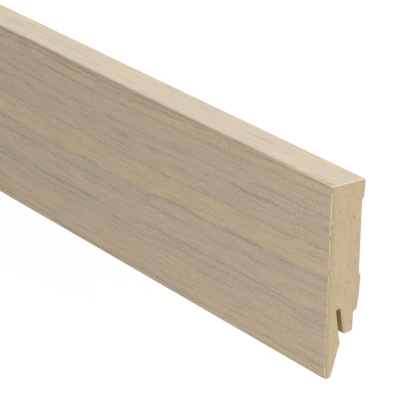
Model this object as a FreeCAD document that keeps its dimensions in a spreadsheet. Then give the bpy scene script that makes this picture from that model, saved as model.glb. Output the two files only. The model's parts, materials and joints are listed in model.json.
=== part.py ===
# Skirting board length: a moulded MDF core with a decor foil bonded over its face, its top edge and its toe.
#
# The board lies on its wall side. X runs along the length, Y from the toe up to the top edge, and Z from the
# wall side up to the face. The origin is under the middle of the board, on the plane of the wall.
#
# Each section is drawn in the board's own terms: height above the toe, and depth behind the face.
# All sizes are in millimetres, and the two angles are in degrees.

import FreeCAD, Part
import os
import Sketcher

# Driving sizes: name, value and what it is.
SIZES = (
    ("board_length", 2400, "length that the board is sold in"),
    ("board_height", 58, "toe to top edge, over the foil"),
    ("board_thickness", 12, "face to wall, over the foil"),
    ("foil_thickness", 0.3, "decor foil"),
    ("foil_toe_return", 1.8, "how far behind the face the foil turns under the toe"),
    ("top_arris_radius", 0.3, "core's arris between face and top edge"),
    ("toe_arris_radius", 0.5, "core's arris between face and toe"),
    ("back_chamfer", 0.1, "core's arris between top edge and wall lip, with the foil cut back in line"),
    ("lip_height", 5.2, "top edge down to the foot of the wall lip"),
    ("lip_step", 1.2, "height over which the lip runs out into the glue recess"),
    ("recess_depth", 1.0, "glue recess, from the wall"),
    ("pad_top", 28.8, "upper corner of the wall pad, above the toe"),
    ("pad_step", 1.6, "height over which the recess runs out onto the pad"),
    ("pad_setback", 0.35, "upper corner of the pad, from the wall"),
    ("pad_height", 6.2, "upper corner of the pad down to its chamfer"),
    ("pad_chamfer_height", 3.4, "chamfer below the pad"),
    ("pad_chamfer_depth", 0.5, "chamfer below the pad"),
    ("contact_taper", 4, "lip and pad lean away from the wall by this angle"),
    ("shoulder_drop", 0.7, "slope of the shoulder between pad and leg"),
    ("leg_setback", 2.5, "back of the clip leg, from the wall"),
    ("leg_chamfer", 0.4, "both corners at the end of the leg"),
    ("nose_height", 9.8, "nose of the toe, above the floor"),
    ("nose_setback", 6.8, "nose of the toe, from the wall"),
    ("nose_chamfer_height", 1.5, "blunted corner under the nose"),
    ("nose_chamfer_depth", 0.6, "blunted corner under the nose"),
    ("clip_gap", 2.4, "nose up to the end of the leg, along the slot"),
    ("slot_depth", 8.4, "end of the leg up to the bottom of the slot"),
    ("slot_width", 1.5, "clip slot"),
    ("slot_tilt", 10, "slot leans towards the face by this angle"),
    ("slot_root_radius", 0.4, "both corners at the bottom of the slot"),
    ("toe_width", 2.2, "sole of the toe, from the face"),
    ("toe_radius", 0.3, "back corner of the sole"),
)
SAME_PLACE = 1e-4
# Which point of a sketch line a dimension holds, and the sketch's own origin.
LINE_START, LINE_END = 1, 2
ROOT = (-1, 1)


def size_sheet(doc):
    """The sheet that holds every driving size under its own name."""
    sheet = doc.addObject("Spreadsheet::Sheet", "Dims")
    for row, (name, value, meaning) in enumerate(SIZES, start=1):
        sheet.set(f"A{row}", name)
        sheet.set(f"B{row}", str(value))
        sheet.setAlias(f"B{row}", name)
        sheet.set(f"C{row}", meaning)
    return sheet


def board_body(doc, name):
    """A body whose own Y is height above the toe and whose own Z is depth behind the face."""
    body = doc.addObject("PartDesign::Body", name)
    body.Label = name
    face_up = FreeCAD.Rotation(FreeCAD.Vector(0, 1, 0), 180)
    body.Placement = FreeCAD.Placement(FreeCAD.Vector(0, 0, 0), face_up)
    body.setExpression("Placement.Base.y", "-Dims.board_height / 2")
    body.setExpression("Placement.Base.z", "Dims.board_thickness")
    return body


def section(body, name, corners):
    """A closed outline across the board. Each named corner has a height formula and a depth formula."""
    sketch = body.newObject("Sketcher::SketchObject", name)
    plane = [f for f in body.Origin.OriginFeatures if f.Role == "YZ_Plane"][0]
    sketch.AttachmentSupport = (plane, [""])
    sketch.MapMode = "FlatFace"
    # A ring of points is enough to start from: the formulas then hold every corner.
    ring = Part.makeCircle(body.Document.Dims.get("board_height")).discretize(len(corners) + 1)
    for start, end in zip(ring, ring[1:]):
        sketch.addGeometry(Part.LineSegment(start, end), False)
    for line in range(len(corners)):
        following = (line + 1) % len(corners)
        sketch.addConstraint(Sketcher.Constraint("Coincident", line, LINE_END, following, LINE_START))
    for line, (corner, (height, depth)) in enumerate(corners.items()):
        hold(sketch, line, "DistanceX", ring[line].x, f"{corner}_height", height)
        hold(sketch, line, "DistanceY", ring[line].y, f"{corner}_depth", depth)
    return sketch


def hold(sketch, line, way, rough, name, formula):
    """The start of a line is held at a named distance from the sketch's origin, which follows a formula."""
    number = sketch.addConstraint(Sketcher.Constraint(way, *ROOT, line, LINE_START, rough))
    sketch.renameConstraint(number, name)
    sketch.setExpression(f"Constraints.{name}", formula)


def extrude(body, sketch, name):
    """Material along the whole board, half each way from its middle."""
    pad = body.newObject("PartDesign::Pad", name)
    pad.Profile = sketch
    pad.SideType = "Symmetric"
    pad.setExpression("Length", "Dims.board_length")
    body.Document.recompute()
    return pad


def mill(body, sketch, name):
    """A cut through the whole board. It has to take material off."""
    before = body.Shape.Volume
    pocket = body.newObject("PartDesign::Pocket", name)
    pocket.Profile = sketch
    pocket.SideType = "Symmetric"
    pocket.Type = "ThroughAll"
    body.Document.recompute()
    if not body.Shape.Volume < before:
        raise RuntimeError(f"{name} cut nothing")
    return pocket


def lengthwise_edges(shape):
    """Name, height and depth of each edge that runs from end to end."""
    found = []
    for number, edge in enumerate(shape.Edges, start=1):
        first, last = edge.Vertexes[0].Point, edge.Vertexes[-1].Point
        across = abs(first.y - last.y) + abs(first.z - last.z)
        if across < SAME_PLACE < abs(first.x - last.x):
            found.append((f"Edge{number}", first.y, first.z))
    return found


def edges_over(feature, sketch, *corners):
    """The lengthwise edges of a feature that stand over these corners of a sketch."""
    names = []
    for corner in corners:
        height = sketch.getDatum(f"{corner}_height").Value
        depth = sketch.getDatum(f"{corner}_depth").Value
        point = sketch.Placement.multVec(FreeCAD.Vector(height, depth, 0))
        for name, edge_height, edge_depth in lengthwise_edges(feature.Shape):
            if abs(edge_height - point.y) + abs(edge_depth - point.z) < SAME_PLACE:
                names.append(name)
    if len(names) != len(corners):
        raise RuntimeError(f"{feature.Name} has {len(names)} edges over {corners} of {sketch.Name}")
    return names


def dress(body, kind, name, base, edges, formula):
    """A fillet or a chamfer along edges of the last feature."""
    feature = body.newObject("PartDesign::" + kind, name)
    feature.Base = (base, edges)
    feature.setExpression("Radius" if kind == "Fillet" else "Size", formula)
    body.Document.recompute()
    return feature


def mdf_core(doc):
    """The moulding: wall side and leg, then the tilted clip cut, then the bevel behind the toe."""
    body = board_body(doc, "mdf_core")
    top = "Dims.board_height - Dims.foil_thickness"
    lip_top = f"{top} - Dims.back_chamfer"
    lip_foot = "Dims.board_height - Dims.lip_height"
    recess = "Dims.board_thickness - Dims.recess_depth"
    pad_foot = "Dims.pad_top - Dims.pad_height"
    pad_face = "Dims.board_thickness - Dims.pad_setback"
    lean = "tan(Dims.contact_taper * 1deg)"
    pad_foot_depth = f"{pad_face} - Dims.pad_height * {lean}"
    leg_back = "Dims.board_thickness - Dims.leg_setback"
    shoulder = f"{pad_foot} - Dims.pad_chamfer_height"
    outline = section(body, "wall_side_section", {
        "toe_front": ("Dims.foil_thickness", "Dims.foil_thickness"),
        "top_front": (top, "Dims.foil_thickness"),
        "top_back": (top, "Dims.board_thickness - Dims.back_chamfer"),
        "lip_top": (lip_top, "Dims.board_thickness"),
        "lip_foot": (lip_foot, f"Dims.board_thickness - ({lip_top} - ({lip_foot})) * {lean}"),
        "recess_top": (f"{lip_foot} - Dims.lip_step", recess),
        "recess_foot": ("Dims.pad_top + Dims.pad_step", recess),
        "pad_top": ("Dims.pad_top", pad_face),
        "pad_foot": (pad_foot, pad_foot_depth),
        "shoulder_back": (shoulder, f"{pad_foot_depth} - Dims.pad_chamfer_depth"),
        "shoulder_front": (f"{shoulder} - Dims.shoulder_drop", leg_back),
        "toe_back": ("Dims.foil_thickness", leg_back),
    })
    moulded = extrude(body, outline, "moulded_blank")
    edge = edges_over(moulded, outline, "top_front")
    rounded_top = dress(body, "Fillet", "top_arris", moulded, edge, "Dims.top_arris_radius")
    edge = edges_over(rounded_top, outline, "toe_front")
    dress(body, "Fillet", "toe_arris", rounded_top, edge, "Dims.toe_arris_radius")

    # One tilted tool cuts the slot and clears the space under the leg. Its own axes start at the nose of the
    # toe: the first runs up the slot, and the second goes square across it, towards the wall.
    nose = "Dims.nose_height"
    nose_depth = "Dims.board_thickness - Dims.nose_setback"
    leg_bottom = "Dims.clip_gap"
    slot_end = "Dims.clip_gap + Dims.slot_depth"
    clear_below = "-(Dims.nose_height + Dims.board_thickness)"
    clear_behind = "2 * Dims.board_thickness"
    tool = section(body, "clip_section", {
        "below": (clear_below, "0"),
        "slot_front": (slot_end, "0"),
        "slot_back": (slot_end, "Dims.slot_width"),
        "leg_inside": (leg_bottom, "Dims.slot_width"),
        "leg_outside": (leg_bottom, clear_behind),
        "behind": (clear_below, clear_behind),
    })
    tilt_axis = FreeCAD.Rotation(FreeCAD.Vector(0, 0, -1), doc.Dims.get("slot_tilt"))
    tool.AttachmentOffset = FreeCAD.Placement(FreeCAD.Vector(0, 0, 0), tilt_axis)
    tool.setExpression("AttachmentOffset.Base.x", nose)
    tool.setExpression("AttachmentOffset.Base.y", nose_depth)
    tool.setExpression("AttachmentOffset.Rotation.Angle", "Dims.slot_tilt * 1deg")
    clipped = mill(body, tool, "clip_cut")

    # The end of the leg: its inner corner belongs to the tool, its outer one lies on the back of the leg.
    leg_depth = doc.Dims.get("board_thickness") - doc.Dims.get("leg_setback")
    on_leg_back = [e for e in lengthwise_edges(clipped.Shape) if abs(e[2] - leg_depth) < SAME_PLACE]
    outer_corner = min(on_leg_back, key=lambda edge: edge[1])[0]
    inner_corner = edges_over(clipped, tool, "leg_inside")[0]
    leg_end = dress(body, "Chamfer", "leg_end", clipped, [inner_corner, outer_corner], "Dims.leg_chamfer")
    root = edges_over(leg_end, tool, "slot_front", "slot_back")
    dress(body, "Fillet", "slot_root", leg_end, root, "Dims.slot_root_radius")

    bevel = section(body, "toe_section", {
        "sole_back": ("0", "Dims.toe_width"),
        "nose_below": (f"{nose} - Dims.nose_chamfer_height", f"{nose_depth} - Dims.nose_chamfer_depth"),
        "nose": (nose, nose_depth),
        "nose_behind": (nose, clear_behind),
        "sole_behind": ("0", clear_behind),
    })
    bevelled = mill(body, bevel, "toe_bevel")
    sole = doc.Dims.get("foil_thickness")
    on_sole = [e for e in lengthwise_edges(bevelled.Shape) if abs(e[1] - sole) < SAME_PLACE]
    heel = max(on_sole, key=lambda edge: edge[2])[0]
    dress(body, "Fillet", "toe_heel", bevelled, [heel], "Dims.toe_radius")
    return body


def decor_foil(doc):
    """The foil: over the top edge as far as the chamfer, down the face, and a little way under the toe."""
    body = board_body(doc, "decor_foil")
    inside_top = "Dims.board_height - Dims.foil_thickness"
    chamfer_inside = "Dims.board_thickness - Dims.back_chamfer"
    outline = section(body, "foil_section", {
        "toe_outside": ("0", "0"),
        "top_outside": ("Dims.board_height", "0"),
        "chamfer_outside": ("Dims.board_height", f"{chamfer_inside} - Dims.foil_thickness"),
        "chamfer_inside": (inside_top, chamfer_inside),
        "top_inside": (inside_top, "Dims.foil_thickness"),
        "toe_inside": ("Dims.foil_thickness", "Dims.foil_thickness"),
        "return_inside": ("Dims.foil_thickness", "Dims.foil_toe_return"),
        "return_outside": ("0", "Dims.foil_toe_return"),
    })
    feature = extrude(body, outline, "foil_sheet")
    # The foil bends round the core's arrises, so its outside is a foil thickness larger than they are.
    for corner, formula in (
        ("top_inside", "Dims.top_arris_radius"),
        ("top_outside", "Dims.top_arris_radius + Dims.foil_thickness"),
        ("toe_inside", "Dims.toe_arris_radius"),
        ("toe_outside", "Dims.toe_arris_radius + Dims.foil_thickness"),
    ):
        bend = edges_over(feature, outline, corner)
        feature = dress(body, "Fillet", f"{corner}_bend", feature, bend, formula)
    return body


def check(doc, pieces):
    """Stops before anything is written if a feature failed or a piece isn't one sound solid."""
    for item in doc.Objects:
        if "Invalid" in item.State or "Error" in item.State:
            raise RuntimeError(f"{item.Name} failed: {item.State}")
    for piece in pieces:
        shape = piece.Shape
        if shape.isNull() or not shape.isValid() or len(shape.Solids) != 1:
            raise RuntimeError(f"{piece.Label} isn't one sound solid")


def main():
    doc = FreeCAD.newDocument("skirting_board")
    size_sheet(doc)
    doc.recompute()
    pieces = [mdf_core(doc), decor_foil(doc)]
    doc.recompute()
    check(doc, pieces)
    os.makedirs("parts", exist_ok=True)
    for piece in pieces:
        piece.Shape.exportStep(f"parts/{piece.Label}.step")
        box = piece.Shape.BoundBox
        print(f"{piece.Label}: {piece.Shape.Volume / 1000:.1f} cm3, {len(piece.Shape.Faces)} faces, "
              f"X {box.XMin:.2f} to {box.XMax:.2f}, Y {box.YMin:.2f} to {box.YMax:.2f}, "
              f"Z {box.ZMin:.2f} to {box.ZMax:.2f}")


main()
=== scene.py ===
import json
import math
import random

import bmesh
import bpy
from mathutils import Matrix, Vector, geometry, kdtree, noise


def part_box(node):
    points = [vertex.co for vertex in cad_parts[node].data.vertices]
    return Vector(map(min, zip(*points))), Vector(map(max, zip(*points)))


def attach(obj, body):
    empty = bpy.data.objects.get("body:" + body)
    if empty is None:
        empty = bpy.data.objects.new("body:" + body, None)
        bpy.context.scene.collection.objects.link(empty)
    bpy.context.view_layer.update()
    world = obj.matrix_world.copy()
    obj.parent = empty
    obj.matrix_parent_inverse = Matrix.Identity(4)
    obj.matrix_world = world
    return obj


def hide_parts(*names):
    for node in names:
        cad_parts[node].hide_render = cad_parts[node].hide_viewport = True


mm = 0.001
samePlace = 0.001  # mm; points this close are one point
sharpFrom = 32  # degrees between two faces that don't shade into each other

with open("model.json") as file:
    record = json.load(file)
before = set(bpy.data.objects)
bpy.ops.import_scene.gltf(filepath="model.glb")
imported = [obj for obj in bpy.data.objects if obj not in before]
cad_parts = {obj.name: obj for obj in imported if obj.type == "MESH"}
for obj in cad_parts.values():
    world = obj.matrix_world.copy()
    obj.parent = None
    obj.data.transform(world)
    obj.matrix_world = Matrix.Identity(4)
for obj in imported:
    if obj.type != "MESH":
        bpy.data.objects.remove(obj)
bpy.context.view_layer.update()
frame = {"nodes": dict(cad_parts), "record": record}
foilLow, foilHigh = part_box("decor_foil")
nearEnd = foilHigh.x / mm  # the sawn end that the camera looks at
toeSole = foilLow.y / mm
topEdge = foilHigh.y / mm
face = foilHigh.z / mm
boardHeight = topEdge - toeSole
print("frame loaded:", round(2 * nearEnd), "x", round(boardHeight), "x", round(face), "mm")

# The record's mount says where the clip slot opens, and its axis points out of it.
clipSlot = next(mount for mount in frame["record"]["mounts"] if mount["name"] == "clip_slot")
slotMouth = Vector(clipSlot["pos_m"][1:]) / mm
slotInward = -Vector(clipSlot["axis"][1:]).normalized()


# Shapes that both pieces use

def endOutline(nodeName):
    # The closed outline of a CAD node's near end as (y, z) points, anticlockwise, in mm.
    shape = bmesh.new()
    shape.from_mesh(frame["nodes"][nodeName].data)
    bmesh.ops.remove_doubles(shape, verts=shape.verts, dist=samePlace * mm)
    atEnd = {vert for vert in shape.verts if abs(vert.co.x / mm - nearEnd) < samePlace}
    onEnd = {f for f in shape.faces if atEnd.issuperset(f.verts)}
    rim = [edge for edge in shape.edges if sum(f in onEnd for f in edge.link_faces) == 1]
    here = rim[0].verts[0]
    loop = []
    while rim:
        step = next(edge for edge in rim if here in edge.verts)
        rim.remove(step)
        loop.append(Vector((here.co.y, here.co.z)) / mm)
        here = step.other_vert(here)
    shape.free()
    area = sum(a.x * b.y - b.x * a.y for a, b in zip(loop, loop[1:] + loop[:1]))
    return loop if area > 0 else loop[::-1]


def turnAt(loop, i):
    # How sharply a closed outline turns left at point i, in degrees.
    into = loop[i] - loop[i - 1]
    out = loop[(i + 1) % len(loop)] - loop[i]
    return math.degrees(out.angle_signed(into))


def divided(points, longest):
    # The same line with no step longer than this.
    result = []
    for a, b in zip(points, points[1:]):
        steps = max(1, math.ceil((b - a).length / longest))
        result += [a.lerp(b, n / steps) for n in range(steps)]
    return result + [points[-1]]


def outwards(points, i):
    # Square to an anticlockwise line at point i, away from its inside.
    along = points[min(i + 1, len(points) - 1)] - points[max(i - 1, 0)]
    return Vector((along.y, -along.x)).normalized()


def upPrint(point):
    # The way up the face and on over the top edge, from the toe's arris: the print is measured along it.
    return point.x - toeSole + face - point.y


def wornAt(up, flakes):
    # How much foil the saw has torn back at this place, and how far it is pushed in.
    torn = 0
    dent = 0
    for middle, half, length, depth in flakes:
        nearness = max(0, 1 - ((up - middle) / half) ** 2)
        torn = max(torn, length * nearness)
        dent = max(dent, depth * nearness)
    return torn, dent


def stations(nearSteps, middleStep):
    # Places along X, close together at both ends, each with how near it is to its end, from 1 to 0.
    near = [(nearEnd - step, share) for step, share in nearSteps]
    last = near[-1][0]
    count = math.ceil(2 * last / middleStep)
    middle = [(last * (1 - 2 * n / count), 0) for n in range(1, count)]
    return near + middle + [(-x, share) for x, share in reversed(near)]


def joinRows(shape, rows):
    # Faces between closed rows of points, one row to the next.
    faces = []
    for low, high in zip(rows, rows[1:]):
        for i in range(len(low)):
            j = (i + 1) % len(low)
            faces.append(shape.faces.new((low[i], low[j], high[j], high[i])))
    return faces


def finishedPiece(name, shape, node, materials):
    bmesh.ops.remove_doubles(shape, verts=shape.verts, dist=samePlace * mm)
    bmesh.ops.recalc_face_normals(shape, faces=shape.faces)
    mesh = bpy.data.meshes.new(name)
    shape.to_mesh(mesh)
    shape.free()
    mesh.shade_smooth()
    mesh.set_sharp_from_angle(angle=math.radians(sharpFrom))
    for material in materials:
        mesh.materials.append(material)
    piece = bpy.data.objects.new(name, mesh)
    bpy.context.scene.collection.objects.link(piece)
    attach(piece, "root")
    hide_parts(node)
    print(name, "built:", len(mesh.polygons), "faces")


# Materials: one function turns colours to linear, and one adds a node

def hexToLinear(code):
    parts = [int(code[i:i + 2], 16) / 255 for i in (1, 3, 5)]
    return [p / 12.92 if p <= 0.04045 else ((p + 0.055) / 1.055) ** 2.4 for p in parts] + [1]


def addNode(tree, kind, settings):
    # A setting is a property of the node, the stops of its ramp, or an input, by name or number. An input
    # takes a number, a colour code, or the node or socket that it is linked from.
    node = tree.nodes.new(kind)
    inputs = []
    for key, value in settings.items():
        if key == "stops":
            for n, (position, level) in enumerate(value):
                spots = node.color_ramp.elements
                spot = spots[n] if n < 2 else spots.new(position)
                spot.position = position
                spot.color = (level, level, level, 1)
        elif isinstance(key, str) and hasattr(node, key):
            setattr(node, key, value)
        else:
            inputs.append((key, value))
    for key, value in inputs:
        named = [socket for socket in node.inputs if socket.enabled and socket.name == key]
        socket = named[0] if named else node.inputs[key]
        if isinstance(value, bpy.types.Node):
            value = next(output for output in value.outputs if output.enabled)
        if isinstance(value, bpy.types.NodeSocket):
            tree.links.new(value, socket)
        else:
            socket.default_value = hexToLinear(value) if isinstance(value, str) else value
    return node


def newMaterial(name):
    material = bpy.data.materials.new(name)
    material.use_nodes = True
    material.node_tree.nodes.clear()
    return material, material.node_tree


# Decor foil: printed oak paper, wrapped round the board and lacquered satin. The eye sees quiet growth lines
# along the board between sandy and mauve-grey bands, fine broken pores, and a soft sheen at low angles.

foilPrint = {
    "sandy": "#ccb794",
    "mauve": "#bead99",
    "rosy": "#c8ab98",
    "line": "#95836a",
    # pale flecks: painted highlights on the embossed pores
    "poreGlint": "#d8c7ad",
    "growthLines": (  # mm up the print near the sawn end, and how dark
        (3.3, 0.55), (6.4, 0.25), (9.0, 0.2), (13.6, 0.25), (16.2, 0.35), (18.4, 0.5),
        (22.0, 0.2), (25.6, 0.35), (29.6, 0.55), (38.1, 0.45), (41.2, 0.25), (44.2, 0.5),
        (47.6, 0.35), (53.6, 0.4), (57.0, 0.5), (58.6, 0.6),
    ),
    "lineWidth": 0.38,  # mm on the crisp side; the other side fades over twice that
    "bands": (  # mm up the print, and how sandy from 0 to 1
        (0, 0.5), (9, 0.55), (17, 0.0), (22.5, 0.5), (27, 0.1), (29, 0.1), (31, 0.9), (36, 0.65),
        (39, 0.25), (50, 0.35), (53, 0.4), (56, 0.65), (58, 0.5), (62, 0.42), (65, 0.25), (68, 0.35),
    ),
    "arrisShade": (  # mm up the print, and how much painted shade darkens it where the face turns over the top arris
        (56.6, 0), (57.5, 0.36), (58.0, 0.32), (58.6, 0.16), (59.4, 0),
    ),
    "height": 72,  # mm of print round the face and the top edge
    "swing": 2.9,  # mm that the growth lines rise and fall
    "swingLength": 500,
    "lowest": -125,  # mm from the near end, where the lines swing lowest
    "trueAt": -20,  # mm from the near end, where lines and bands lie at the heights given
    "wander": 3.2,  # mm that they stray besides, slowly
    "wanderSize": (42, 7),
    "ragged": 1.4,  # mm that the growth lines jump up and down
    "patches": {  # mm along and up the print, a shift in patches, and the noise's detail and roughness
        "jumps": ((4, 1.5), (0, 0), 3, 0.6),
        "breaks": ((12, 2.4), (0, 0), 4, 0.6),
        "streaks": ((16, 0.8), (0, 0), 4, 0.65),
        "pores": ((1.1, 0.42), (0, 0), 2, 0.5),
        "mottle": ((30, 4), (0, 0), 4, 0.6),
        "rosy": ((14, 3.4), (7, 3), 1, 0.5),
    },
    "mottling": 1.4,  # of the bands
    "streakMost": 0.36,
    "poreMost": 0.26,
    "poreGlintMost": 0.38,
    "rosyMost": 0.4,
    "topFrom": 57,  # mm up the print, where painted light begins to wash out the pores on the top edge
    "topTo": 60,
    "topPores": 0.3,  # share of the pores left on the top edge, where painted light washes out the rest
    "pressDepth": 0.05,  # mm that lines and pores are embossed
    "roughness": 0.6,
    "poreRoughness": 0.75,
    "sheen": 0.25,  # specular level of the satin lacquer
    "ior": 1.5,
}


def printedFoil():
    material, tree = newMaterial("printed oak decor foil, satin lacquer")
    p = foilPrint
    place = addNode(tree, "ShaderNodeTexCoord", {}).outputs["Object"]
    inMm = addNode(tree, "ShaderNodeVectorMath", {"operation": "SCALE", 0: place, "Scale": 1 / mm})
    axes = addNode(tree, "ShaderNodeSeparateXYZ", {0: inMm}).outputs
    fromEnd = addNode(tree, "ShaderNodeMath", {"operation": "SUBTRACT", 0: axes["X"], 1: nearEnd})
    rise = addNode(tree, "ShaderNodeMath", {"operation": "SUBTRACT", 0: axes["Y"], 1: axes["Z"]})
    up = addNode(tree, "ShaderNodeMath", {"operation": "ADD", 0: rise, 1: face - toeSole})

    # The print's own height: straight lines in it swing and wander along the board.
    perMm = 2 * math.pi / p["swingLength"]
    phase = addNode(tree, "ShaderNodeMath", {
        "operation": "MULTIPLY_ADD", 0: fromEnd, 1: perMm, 2: -perMm * p["lowest"]})
    swing = addNode(tree, "ShaderNodeMath", {"operation": "COSINE", 0: phase})
    flat = addNode(tree, "ShaderNodeCombineXYZ", {"X": fromEnd, "Y": up})
    slow = addNode(tree, "ShaderNodeMapping", {
        "Vector": flat, "Scale": (1 / p["wanderSize"][0], 1 / p["wanderSize"][1], 1)})
    wander = addNode(tree, "ShaderNodeTexNoise", {
        "noise_dimensions": "2D", "Vector": slow, "Scale": 1, "Detail": 2})
    swung = addNode(tree, "ShaderNodeMath", {
        "operation": "MULTIPLY_ADD", 0: swing, 1: p["swing"], 2: up})
    wandered = addNode(tree, "ShaderNodeMath", {
        "operation": "MULTIPLY_ADD", 0: wander, 1: p["wander"], 2: swung})
    settled = p["swing"] * math.cos(perMm * (p["trueAt"] - p["lowest"])) + p["wander"] / 2
    grainUp = addNode(tree, "ShaderNodeMath", {"operation": "SUBTRACT", 0: wandered, 1: settled})
    grain = addNode(tree, "ShaderNodeCombineXYZ", {"X": fromEnd, "Y": grainUp})
    share = addNode(tree, "ShaderNodeMath", {"operation": "DIVIDE", 0: grainUp, 1: p["height"]})

    # Uneven patches of each kind, drawn out along the grain
    patches = {}
    for kind, ((length, height), shift, detail, roughness) in p["patches"].items():
        patchPlace = addNode(tree, "ShaderNodeMapping", {
            "Vector": grain, "Location": (*shift, 0), "Scale": (1 / length, 1 / height, 1)})
        patches[kind] = addNode(tree, "ShaderNodeTexNoise", {
            "noise_dimensions": "2D", "Vector": patchPlace, "Scale": 1,
            "Detail": detail, "Roughness": roughness})

    # Growth lines that come and go. A ramp holds 32 stops, so they are shared out over two.
    perHeight = p["ragged"] / p["height"]
    jumped = addNode(tree, "ShaderNodeMath", {
        "operation": "MULTIPLY_ADD", 0: patches["jumps"], 1: perHeight, 2: share})
    atLine = addNode(tree, "ShaderNodeMath", {"operation": "SUBTRACT", 0: jumped, 1: perHeight / 2})
    lines = 0
    half = len(p["growthLines"]) // 2
    for group in (p["growthLines"][:half], p["growthLines"][half:]):
        stops = []
        for height, level in group:
            below = height - p["lineWidth"]
            above = height + 2 * p["lineWidth"]
            stops += [(below / p["height"], 0), (height / p["height"], level), (above / p["height"], 0)]
        ramp = addNode(tree, "ShaderNodeValToRGB", {"Fac": atLine, "stops": stops})
        lines = addNode(tree, "ShaderNodeMath", {"operation": "ADD", 0: ramp, 1: lines})
    kept = addNode(tree, "ShaderNodeMapRange", {
        "Value": patches["breaks"], "From Min": 0.36, "From Max": 0.58, "To Min": 0.25, "To Max": 1.1})
    lineShare = addNode(tree, "ShaderNodeMath", {"operation": "MULTIPLY", 0: lines, 1: kept})

    # Fine streaks and short pores of about 0.4 x 1 mm, as open oak grain has, and pale flecks of that size
    # that are painted highlights on the embossed pores
    streakShare = addNode(tree, "ShaderNodeMapRange", {
        "Value": patches["streaks"], "From Min": 0.46, "From Max": 0.73, "To Max": p["streakMost"]})
    # Fewer pores and flecks are painted on the top edge: painted light, as the lamps fall straight on it.
    poreShowing = addNode(tree, "ShaderNodeMapRange", {
        "Value": up, "From Min": p["topFrom"], "From Max": p["topTo"],
        "To Min": 1, "To Max": p["topPores"]})
    poreMost = addNode(tree, "ShaderNodeMath", {"operation": "MULTIPLY", 0: poreShowing, 1: p["poreMost"]})
    poreShare = addNode(tree, "ShaderNodeMapRange", {
        "Value": patches["pores"], "From Min": 0.54, "From Max": 0.74, "To Max": poreMost})
    poreGlintMost = addNode(tree, "ShaderNodeMath", {"operation": "MULTIPLY", 0: poreShowing, 1: p["poreGlintMost"]})
    poreGlintShare = addNode(tree, "ShaderNodeMapRange", {
        "Value": patches["pores"], "From Min": 0.46, "From Max": 0.26, "To Max": poreGlintMost})

    # Sandy and mauve bands, mottled, with rosy patches here and there
    bands = addNode(tree, "ShaderNodeValToRGB", {
        "Fac": share, "stops": [(height / p["height"], sandy) for height, sandy in p["bands"]]})
    mottled = addNode(tree, "ShaderNodeMath", {
        "operation": "MULTIPLY_ADD", 0: patches["mottle"], 1: p["mottling"], 2: bands})
    sandyShare = addNode(tree, "ShaderNodeMapRange", {
        "Value": mottled, "From Min": 0.6, "From Max": 1.55})
    rosyShare = addNode(tree, "ShaderNodeMapRange", {
        "Value": patches["rosy"], "From Min": 0.42, "From Max": 0.7, "To Max": p["rosyMost"]})

    # Painted shade along the top arris keeps to the board, so it doesn't swing with the grain.
    upShare = addNode(tree, "ShaderNodeMath", {"operation": "DIVIDE", 0: up, 1: p["height"]})
    arrisShadeShare = addNode(tree, "ShaderNodeValToRGB", {
        "Fac": upShare, "stops": [(height / p["height"], dark) for height, dark in p["arrisShade"]]})

    colour = addNode(tree, "ShaderNodeMix", {
        "data_type": "RGBA", "Factor": sandyShare, "A": p["mauve"], "B": p["sandy"]})
    # The last layer is painted shade along the top arris.
    layers = (
        (rosyShare, "rosy"), (streakShare, "line"), (poreShare, "line"), (poreGlintShare, "poreGlint"),
        (lineShare, "line"), (arrisShadeShare, "line"))
    for layerShare, shade in layers:
        colour = addNode(tree, "ShaderNodeMix", {
            "data_type": "RGBA", "Factor": layerShare, "A": colour, "B": p[shade]})

    pressed = addNode(tree, "ShaderNodeMath", {"operation": "ADD", 0: lineShare, 1: poreShare})
    bump = addNode(tree, "ShaderNodeBump", {
        "invert": True, "Strength": 0.5, "Distance": p["pressDepth"] * mm, "Height": pressed})
    rough = addNode(tree, "ShaderNodeMapRange", {
        "Value": pressed, "To Min": p["roughness"], "To Max": p["poreRoughness"]})
    shader = addNode(tree, "ShaderNodeBsdfPrincipled", {
        "Base Color": colour, "Roughness": rough, "IOR": p["ior"],
        "Specular IOR Level": p["sheen"], "Normal": bump})
    addNode(tree, "ShaderNodeOutputMaterial", {"Surface": shader})
    return material


# Decor paper, sawn: the foil's cut edge is a pale, matt line round the end, with duller tufts, and paler in
# some stretches up the end than in others.

paperEdge = {
    "paperPale": "#e8dcc2",
    "paperDull": "#bda988",
    "fibre": 1.2,  # mm, the size of its tufts
    "palenessUp": (  # mm up from the toe, and how pale the cut line is there
        (0, 0.4), (3.5, 0.4), (5, 0.22), (20, 0.22), (30, 0.3), (44, 0.4), (47, 0.6), (55, 0.6),
        (56.4, 0.1), (57.4, 0.1), (57.8, 0.8),
    ),
    "roughness": 0.9,
}


def sawnPaper():
    material, tree = newMaterial("decor paper, sawn through")
    p = paperEdge
    place = addNode(tree, "ShaderNodeTexCoord", {}).outputs["Object"]
    fibres = addNode(tree, "ShaderNodeTexNoise", {
        "Vector": place, "Scale": 1 / (p["fibre"] * mm), "Detail": 3})
    axes = addNode(tree, "ShaderNodeSeparateXYZ", {0: place}).outputs
    height = addNode(tree, "ShaderNodeMapRange", {
        "Value": axes["Y"], "From Min": toeSole * mm, "From Max": topEdge * mm})
    paleness = addNode(tree, "ShaderNodeValToRGB", {
        "Fac": height, "stops": [(up / boardHeight, paperPale) for up, paperPale in p["palenessUp"]]})
    shift = addNode(tree, "ShaderNodeMath", {"operation": "ADD", 0: fibres, 1: paleness})
    share = addNode(tree, "ShaderNodeMapRange", {"Value": shift, "From Min": 0.6, "From Max": 1.3})
    colour = addNode(tree, "ShaderNodeMix", {
        "data_type": "RGBA", "Factor": share, "A": p["paperDull"], "B": p["paperPale"]})
    shader = addNode(tree, "ShaderNodeBsdfPrincipled", {
        "Base Color": colour, "Roughness": p["roughness"]})
    addNode(tree, "ShaderNodeOutputMaterial", {"Surface": shader})
    return material


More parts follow.
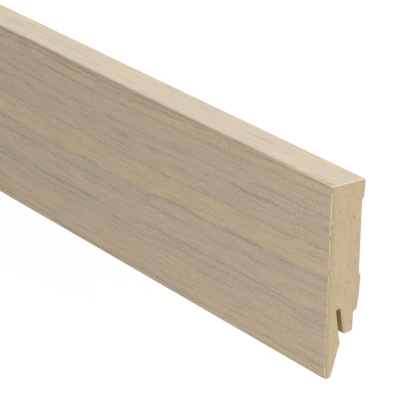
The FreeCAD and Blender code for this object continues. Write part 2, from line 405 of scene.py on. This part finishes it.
# Medium density fibreboard: pressed wood fibre. A sawn end is fuzzy and matt, with the layers of the mat as
# faint streaks along its height. A milled side is smoother, with the cutter's fine ripple, and the narrow
# slot is painted dark brown: the scorch of its thin blade, with painted shade that deepens into it.

fibreboard = {
    "green": "#beab8a",
    "pink": "#c3ad90",
    "straw": "#bea77c",
    "dark": "#978263",
    "pale": "#d3c4a6",
    "scorchedAndShaded": "#a2814c",
    "besideFoilDark": "#93866d",
    "bark": "#8a6f4a",
    "patches": {  # mm along, up and through the board, and the noise's detail and roughness
        "layers": ((9, 7, 0.45), 3, 0.6),  # of the mat
        "fibres": ((0.9, 0.9, 0.5), 4, 0.7),  # in tufts
        "tint": ((20, 12, 3), 2, 0.5),
        "straw": ((9, 9, 2), 3, 0.5),
    },
    "shades": (  # the patches, the levels where they start and are whole, their most, and their colour
        ("straw", 0.42, 0.68, 0.36, "straw"),
        ("layers", 0.5, 0.78, 0.33, "dark"),
        ("fibres", 0.5, 0.75, 0.6, "pale"),
        ("fibres", 0.42, 0.24, 0.6, "dark"),
    ),
    "barkSpacing": (4, 5, 4),  # mm between bark specks of about 0.5 mm
    "barkShift": (0, 0.6, 0.3),
    "barkMost": 0.42,
    "greenDepth": (4.6, 2),  # mm behind the face, where the green starts and is whole
    "greenRise": (-5, 11),  # mm up the board, between which it grows from the first share to the second
    "greenShare": (0.18, 0.35),
    "besideFoilDepth": (2, 0.35),  # mm behind the face, where the darkening right behind the foil starts and is whole
    "besideFoilMost": 0.33,
    "scorchShadeRun": 4,  # mm into the slot to its darkest
    "scorchShadeShare": (0.4, 0.85),  # at its mouth and from there on
    "rippleStep": 1.6,  # mm between cutter marks, drawn coarser than the real 0.8 so that they show
    "ripple": 0.15,  # their height beside the fuzz
    "reliefDepth": 0.08,  # mm
    "roughness": 0.92,
    "ior": 1.4,
}


def rawFibreboard(name, ripple, scorchedAndShaded):
    material, tree = newMaterial(name)
    p = fibreboard
    place = addNode(tree, "ShaderNodeTexCoord", {}).outputs["Object"]
    inMm = addNode(tree, "ShaderNodeVectorMath", {"operation": "SCALE", 0: place, "Scale": 1 / mm})
    axes = addNode(tree, "ShaderNodeSeparateXYZ", {0: inMm}).outputs
    depth = addNode(tree, "ShaderNodeMath", {"operation": "SUBTRACT", 0: face, 1: axes["Z"]})

    # The mat's layers and tufts, and what they do to its colour
    patches = {}
    for kind, (size, detail, roughness) in p["patches"].items():
        patchPlace = addNode(tree, "ShaderNodeMapping", {
            "Vector": inMm, "Scale": [1 / length for length in size]})
        patches[kind] = addNode(tree, "ShaderNodeTexNoise", {
            "Vector": patchPlace, "Scale": 1, "Detail": detail, "Roughness": roughness})
    shades = []
    for kind, start, whole, most, shade in p["shades"]:
        share = addNode(tree, "ShaderNodeMapRange", {
            "Value": patches[kind], "From Min": start, "From Max": whole, "To Max": most})
        shades.append((share, shade))

    # The press leaves the board greener and denser under its face, and the core darkens over the 2 mm behind
    # the face.
    toTop = addNode(tree, "ShaderNodeMapRange", {
        "Value": axes["Y"], "From Min": p["greenRise"][0], "From Max": p["greenRise"][1],
        "To Min": p["greenShare"][0], "To Max": p["greenShare"][1]})
    nearFace = addNode(tree, "ShaderNodeMapRange", {
        "Value": depth, "From Min": p["greenDepth"][0], "From Max": p["greenDepth"][1], "To Max": toTop})
    greenness = addNode(tree, "ShaderNodeMath", {"operation": "ADD", 0: nearFace, 1: patches["tint"]})
    greenShare = addNode(tree, "ShaderNodeMapRange", {
        "Value": greenness, "From Min": 0.45, "From Max": 0.75})
    besideFoilShare = addNode(tree, "ShaderNodeMapRange", {
        "Value": depth, "From Min": p["besideFoilDepth"][0], "From Max": p["besideFoilDepth"][1],
        "To Max": p["besideFoilMost"]})

    # Bark specks, one here and there
    barkPlace = addNode(tree, "ShaderNodeMapping", {
        "Vector": inMm, "Location": p["barkShift"], "Scale": [1 / gap for gap in p["barkSpacing"]]})
    bark = addNode(tree, "ShaderNodeTexVoronoi", {"Vector": barkPlace, "Scale": 1})
    barkShare = addNode(tree, "ShaderNodeMapRange", {
        "Value": bark, "From Min": 0.11, "From Max": 0.04, "To Max": p["barkMost"]})
    shades += [(barkShare, "bark"), (besideFoilShare, "besideFoilDark")]

    # The slot's walls darken inwards: the blade's scorch, with painted shade deeper in.
    if scorchedAndShaded:
        deep = addNode(tree, "ShaderNodeVectorMath", {
            "operation": "DOT_PRODUCT", 0: inMm, 1: (0, slotInward.x, slotInward.y)})
        atMouth = slotMouth.dot(slotInward)
        scorchAndShade = addNode(tree, "ShaderNodeMapRange", {
            "Value": deep, "From Min": atMouth, "From Max": atMouth + p["scorchShadeRun"],
            "To Min": p["scorchShadeShare"][0], "To Max": p["scorchShadeShare"][1]})
        shades.append((scorchAndShade, "scorchedAndShaded"))

    colour = addNode(tree, "ShaderNodeMix", {
        "data_type": "RGBA", "Factor": greenShare, "A": p["pink"], "B": p["green"]})
    for share, shade in shades:
        colour = addNode(tree, "ShaderNodeMix", {
            "data_type": "RGBA", "Factor": share, "A": colour, "B": p[shade]})

    turns = addNode(tree, "ShaderNodeMath", {
        "operation": "MULTIPLY", 0: axes["X"], 1: 2 * math.pi / p["rippleStep"]})
    wave = addNode(tree, "ShaderNodeMath", {"operation": "SINE", 0: turns})
    fuzz = addNode(tree, "ShaderNodeMath", {
        "operation": "ADD", 0: patches["fibres"], 1: patches["layers"]})
    relief = addNode(tree, "ShaderNodeMath", {"operation": "MULTIPLY_ADD", 0: wave, 1: ripple, 2: fuzz})
    bump = addNode(tree, "ShaderNodeBump", {
        "Strength": 0.6, "Distance": p["reliefDepth"] * mm, "Height": relief})
    shader = addNode(tree, "ShaderNodeBsdfPrincipled", {
        "Base Color": colour, "Roughness": p["roughness"], "IOR": p["ior"], "Normal": bump})
    addNode(tree, "ShaderNodeOutputMaterial", {"Surface": shader})
    return material


# The printed foil: a wrapped strip whose sawn ends are frayed

foilShape = {
    "thickness": 0.3,
    "cornerTurn": 30,  # degrees; only the strip's own four corners turn more than this
    "step": 0.25,  # mm between points round the wrap, fine enough for the frayed ends
    "nearSteps": (  # mm from an end, and the share of its wear
        (0, 1), (0.4, 0.4), (1.2, 0), (4, 0), (14, 0), (45, 0),
    ),
    "middleStep": 120,
    "fray": 0.03,
    "frayTurns": 2.1,  # per mm up the print
    "frayRow": 5,  # of the noise at the near end, and as far the other way at the far end
    "nearFlakes": (  # mm up the print, half width, length torn back, depth pushed in
        (2.0, 1.4, 0.02, 0.00), (6.2, 2.6, 0.22, 0.00), (12.0, 4.0, 0.08, 0.00), (23.0, 4.0, 0.05, 0.05),
        (32.5, 0.9, 0.20, 0.08), (42.6, 0.8, 0.30, 0.00), (45.8, 0.8, 0.25, 0.00), (47.7, 0.8, 0.00, 0.45),
        (54.2, 1.2, 0.00, 0.28), (56.8, 0.9, 0.28, 0.00), (61.5, 1.0, 0.00, 0.12), (65.0, 1.4, 0.00, 0.10),
    ),
    "farFlakes": 22,
    "farRanges": ((0, 70), (0.5, 2), (0, 0.3), (0, 0.2)),  # for the same four measures
    "seed": 4,
    "toeCut": 1.35,  # mm behind the face, from where the strip under the toe is bare paper
    "toeCutHeight": 0.5,
    "backCut": 0.35,  # mm off the wall plane, up to where the strip behind the top is bare paper
}


def farFlakes():
    draw = random.Random(foilShape["seed"])
    return [[draw.uniform(low, high) for low, high in foilShape["farRanges"]]
            for n in range(foilShape["farFlakes"])]


def wrapLines():
    # The foil's outer and inner side, from its edge behind the top to its return under the toe.
    p = foilShape
    loop = endOutline("decor_foil")
    corners = [i for i in range(len(loop)) if turnAt(loop, i) > p["cornerTurn"]]
    sides = []
    for a, b in zip(corners, corners[1:] + [corners[0] + len(loop)]):
        sides.append([loop[i % len(loop)] for i in range(a, b + 1)])
    lengths = [sum((b - a).length for a, b in zip(side, side[1:])) for side in sides]
    outer = divided(sides[lengths.index(max(lengths))], p["step"])
    inner = [point - outwards(outer, i) * p["thickness"] for i, point in enumerate(outer)]
    inner[0] = min(loop, key=lambda point: point.y)
    return outer, inner


def buildFoil(printed, sawn):
    p = foilShape
    outer, inner = wrapLines()
    wear = {1: p["nearFlakes"], -1: farFlakes()}
    shape = bmesh.new()
    rows = []
    for x, share in stations(p["nearSteps"], p["middleStep"]):
        side = 1 if x > 0 else -1
        row = []
        for line in (outer, inner[::-1]):
            for i, point in enumerate(line):
                atOuter = i if line is outer else len(outer) - 1 - i
                up = upPrint(outer[atOuter])
                torn, dent = wornAt(up, wear[side])
                torn += p["fray"] * (1 + noise.noise(Vector((up * p["frayTurns"], side * p["frayRow"], 0))))
                back = torn * side if share == 1 else 0
                pushed = point - outwards(outer, atOuter) * dent * share
                row.append(shape.verts.new(Vector((x - back, pushed.x, pushed.y)) * mm))
        rows.append(row)
    joinRows(shape, rows)
    for row in (rows[0], rows[-1]):
        for i in range(len(outer) - 1):
            shape.faces.new((row[i], row[i + 1], row[-i - 2], row[-i - 1])).material_index = 1
    for f in shape.faces:
        middle = f.calc_center_median() / mm
        atToe = middle.z < face - p["toeCut"] and middle.y < toeSole + p["toeCutHeight"]
        atBack = middle.z < p["backCut"]
        if atToe or atBack:
            f.material_index = 1
    finishedPiece("wrappedDecorFoil", shape, "decor_foil", [printed, sawn])


# The fibreboard core: milled all along its wall side, sawn square at both ends

coreShape = {
    "step": 0.4,
    "cornerRadius": 0.12,  # mm, as a cutter and a little dust leave a milled corner
    "cornerTurn": 20,  # degrees; a smaller turn isn't softened
    "cornerBow": 0.29,  # share of the way from a square corner back to the middle of its arc
    "cornerMost": 0.45,  # share of a side that one softened corner may take
    "wrapDepth": 1.4,  # mm behind the face that the foil covers
    "topCover": 0.35,  # mm below the top edge that it covers
    "backCover": 0.15,  # mm off the wall plane, from where it does
    "nearSteps": (  # mm from an end, and the share of its wear
        (0, 1), (0.35, 0.3), (1.2, 0), (4, 0), (14, 0), (45, 0),
    ),
    "middleStep": 120,
    "arrisWear": 0.06,
    "arrisTurns": 1.7,  # per mm
    "arrisRow": 9,
    "grid": 0.4,
    "gridLoose": (0.2, 0.8),  # share of a square, between which its point lies
    "rimGap": 0.7,  # share of a square that points keep off the rim
    "relief": 0.05,
    "reliefTurns": ((0.3, 2.2, 3), (1.4, 1.4, 7)),  # per mm up and through the board, and the noise's row
    "pitDepth": 0.8,  # share of a pit's half width
    "nearPits": (  # mm behind the face, up the end, and half width
        (7.8, 55.4, 0.4), (6.7, 45.2, 0.35), (3.5, 49.3, 0.25), (5.5, 31.4, 0.25), (7.9, 28.3, 0.25),
    ),
    "farPits": 9,
    "farPitHalf": (0.25, 0.5),
    "slotLip": 0.3,  # mm inside the mouth that stay clean
    "slotHalf": 0.85,
    "seed": 11,
}


def softened(loop):
    # The outline with its sharp corners rounded. Corners that the foil covers stay as they are.
    p = coreShape
    result = []
    for i, point in enumerate(loop):
        covered = point.y >= face - p["wrapDepth"]
        if abs(turnAt(loop, i)) < p["cornerTurn"] or covered:
            result.append(point)
            continue
        before = loop[i - 1] - point
        after = loop[(i + 1) % len(loop)] - point
        reach = min(p["cornerRadius"], p["cornerMost"] * before.length, p["cornerMost"] * after.length)
        before = before.normalized() * reach
        after = after.normalized() * reach
        result += [point + before, point + (before + after) * p["cornerBow"], point + after]
    return result


def isUnderFoil(point):
    p = coreShape
    behindFace = point.y > face - p["wrapDepth"]
    belowTop = point.x > topEdge - p["topCover"] and point.y > p["backCover"]
    return behindFace or belowTop


def isInSlot(point):
    way = point - slotMouth
    inside = way.dot(slotInward) > coreShape["slotLip"]
    return inside and abs(way.cross(slotInward)) < coreShape["slotHalf"]


def looseGrid(rim, lowest, highest, draw):
    # A loose grid of points over the end, clear of its rim. Those that lie outside it are dropped later.
    p = coreShape
    points = []
    for n in range(int((highest - lowest) / p["grid"])):
        for m in range(int(face / p["grid"])):
            up = lowest + (n + draw.uniform(*p["gridLoose"])) * p["grid"]
            out = (m + draw.uniform(*p["gridLoose"])) * p["grid"]
            points.append(Vector((up, out)))
    near = kdtree.KDTree(len(rim))
    for i, point in enumerate(rim):
        near.insert((point.x, point.y, 0), i)
    near.balance()
    gap = p["rimGap"] * p["grid"]
    return [point for point in points if near.find((point.x, point.y, 0))[2] > gap]


def hollowAt(point, side, pits):
    # How far the sawn fibres stand back from the end's plane, in mm.
    p = coreShape
    rough = 0
    for upTurns, throughTurns, row in p["reliefTurns"]:
        rough += noise.noise(Vector((point.x * upTurns, point.y * throughTurns, side * row)))
    hollow = p["relief"] * (2 + rough) / 2
    for middle, half in pits:
        hollow += p["pitDepth"] * half * max(0, 1 - ((point - middle).length / half) ** 2)
    return hollow


def buildCore(materials):
    p = coreShape
    draw = random.Random(p["seed"])
    loop = softened(endOutline("mdf_core"))
    rim = divided(loop + loop[:1], p["step"])[:-1]
    wear = {1: foilShape["nearFlakes"], -1: farFlakes()}
    shape = bmesh.new()
    rows = []
    for x, share in stations(p["nearSteps"], p["middleStep"]):
        side = 1 if x > 0 else -1
        row = []
        for i, point in enumerate(rim):
            around = [rim[i - 1], point, rim[(i + 1) % len(rim)]]
            if isUnderFoil(point):
                worn = wornAt(upPrint(point), wear[side])[1]
            else:
                spot = Vector((point.x * p["arrisTurns"], point.y * p["arrisTurns"], side * p["arrisRow"]))
                worn = p["arrisWear"] * (1 + noise.noise(spot))
            pushed = point - outwards(around, 1) * worn * share
            row.append(shape.verts.new(Vector((x, pushed.x, pushed.y)) * mm))
        rows.append(row)
    for f in joinRows(shape, rows):
        middle = f.calc_center_median() / mm
        f.material_index = 2 if isInSlot(Vector((middle.y, middle.z))) else 1

    lowest = min(point.x for point in rim)
    highest = max(point.x for point in rim)
    inside = looseGrid(rim, lowest, highest, draw)
    nearPits = [(Vector((toeSole + up, face - behind)), half) for behind, up, half in p["nearPits"]]
    farPits = []
    for n in range(p["farPits"]):
        middle = Vector((draw.uniform(lowest, highest), draw.uniform(0, face)))
        farPits.append((middle, draw.uniform(*p["farPitHalf"])))
    flat = geometry.delaunay_2d_cdt(rim + inside, [], [list(range(len(rim)))], 1, samePlace)
    for row, side, pits in ((rows[0], 1, nearPits), (rows[-1], -1, farPits)):
        verts = []
        for point, origins in zip(flat[0], flat[3]):
            onRim = [n for n in origins if n < len(rim)]
            if onRim:
                verts.append(row[onRim[0]])
            else:
                x = (nearEnd - hollowAt(point, side, pits)) * side
                verts.append(shape.verts.new(Vector((x, point.x, point.y)) * mm))
        for corners in flat[2]:
            shape.faces.new([verts[n] for n in corners]).material_index = 0
    loose = [vert for vert in shape.verts if not vert.link_faces]
    bmesh.ops.delete(shape, geom=loose, context="VERTS")
    finishedPiece("fibreboardCore", shape, "mdf_core", materials)


buildFoil(printedFoil(), sawnPaper())
buildCore([
    rawFibreboard("fibreboard, sawn", 0, False),
    rawFibreboard("fibreboard, milled", fibreboard["ripple"], False),
    rawFibreboard("fibreboard, slotted and scorched", fibreboard["ripple"], True),
])


# The studio: a pale floor, an even white surround and four soft lamps

studio = {
    "surround": 0.33,
    "floor": "#f2f2f2",
    "floorSize": 60,  # metres
    "floorGlow": 1.12,  # with the light that falls on it, the clear floor comes to white
    "floorShare": 0.8,  # of its own glow, so that shadows on it stay pale
    "lamps": (  # where it hangs, what it points at, width and height in metres, power in watts, and colour
        ((0.6, 4.3, 0.8), (0.3, 0.0, 0.0), 4.0, 1.6, 203, "#e4f0ff"),
        ((1.17, -0.32, 0.25), (1.15, 0.0, 0.0), 0.5, 0.2, 0.22, "#fffaf2"),
        ((1.72, 0.0, 0.31), (1.2, 0.0, 0.0), 0.5, 0.3, 2.27, "#ffffff"),
        ((-3.2, -0.3, 0.35), (-1.2, 0.0, 0.0), 1.2, 0.6, 14, "#ffffff"),
    ),
}


def seenClear(tree):
    # 1 for rays from the camera, a gloss or glass, which see the background plain white.
    path = addNode(tree, "ShaderNodeLightPath", {}).outputs
    seen = addNode(tree, "ShaderNodeMath", {
        "operation": "MAXIMUM", 0: path["Is Camera Ray"], 1: path["Is Glossy Ray"]})
    return addNode(tree, "ShaderNodeMath", {
        "operation": "MAXIMUM", 0: seen, 1: path["Is Transmission Ray"]})


def buildStudio():
    bpy.ops.mesh.primitive_plane_add(size=studio["floorSize"], location=(0, 0, 0))
    floor = bpy.context.active_object
    floor.name = "studioFloor"
    material, tree = newMaterial("matt white studio floor")
    shaded = addNode(tree, "ShaderNodeBsdfDiffuse", {"Color": studio["floor"]})
    glow = addNode(tree, "ShaderNodeEmission", {"Color": "#ffffff", "Strength": studio["floorGlow"]})
    share = addNode(tree, "ShaderNodeMath", {
        "operation": "MULTIPLY", 0: seenClear(tree), 1: studio["floorShare"]})
    both = addNode(tree, "ShaderNodeMixShader", {0: share, 1: shaded, 2: glow})
    addNode(tree, "ShaderNodeOutputMaterial", {"Surface": both})
    floor.data.materials.append(material)

    world = bpy.data.worlds.new("white surround")
    bpy.context.scene.world = world
    world.use_nodes = True
    tree = world.node_tree
    tree.nodes.clear()
    lit = addNode(tree, "ShaderNodeBackground", {"Color": "#ffffff", "Strength": studio["surround"]})
    white = addNode(tree, "ShaderNodeBackground", {"Color": "#ffffff", "Strength": 1})
    both = addNode(tree, "ShaderNodeMixShader", {0: seenClear(tree), 1: lit, 2: white})
    addNode(tree, "ShaderNodeOutputWorld", {"Surface": both})

    for n, (place, target, width, height, power, colour) in enumerate(studio["lamps"]):
        data = bpy.data.lights.new("softbox" + str(n + 1), "AREA")
        data.shape = "RECTANGLE"
        data.size = width
        data.size_y = height
        data.energy = power
        data.color = hexToLinear(colour)[:3]
        lamp = bpy.data.objects.new(data.name, data)
        lamp.location = place
        lamp.rotation_euler = (Vector(target) - Vector(place)).to_track_quat("-Z", "Y").to_euler()
        bpy.context.scene.collection.objects.link(lamp)
    print("studio built:", len(studio["lamps"]), "lamps")


# The camera looks down along the board from beyond its near end, rolled so that the top edge is up.

viewpoint = {
    "place": (1.71000, 0.28432, 0.43049),  # metres
    "view": (-0.74999, -0.36708, -0.55024),
    "up": (-0.30827, 0.92998, -0.20024),
    "lens": 234.08,  # mm, on a sensor of this width
    "sensor": 36,
    "farthest": 100,  # metres that it sees, past the end of the floor
}


def setCamera():
    data = bpy.data.cameras.new("camera")
    data.lens = viewpoint["lens"]
    data.sensor_width = viewpoint["sensor"]
    data.clip_end = viewpoint["farthest"]
    camera = bpy.data.objects.new("camera", data)
    view = Vector(viewpoint["view"]).normalized()
    across = view.cross(Vector(viewpoint["up"])).normalized()
    above = across.cross(view)
    turned = Matrix((across, above, -view)).transposed()
    camera.matrix_world = Matrix.Translation(viewpoint["place"]) @ turned.to_4x4()
    bpy.context.scene.collection.objects.link(camera)
    bpy.context.scene.camera = camera
    bpy.context.scene.view_settings.view_transform = "Standard"
    print("camera set")


buildStudio()
setCamera()
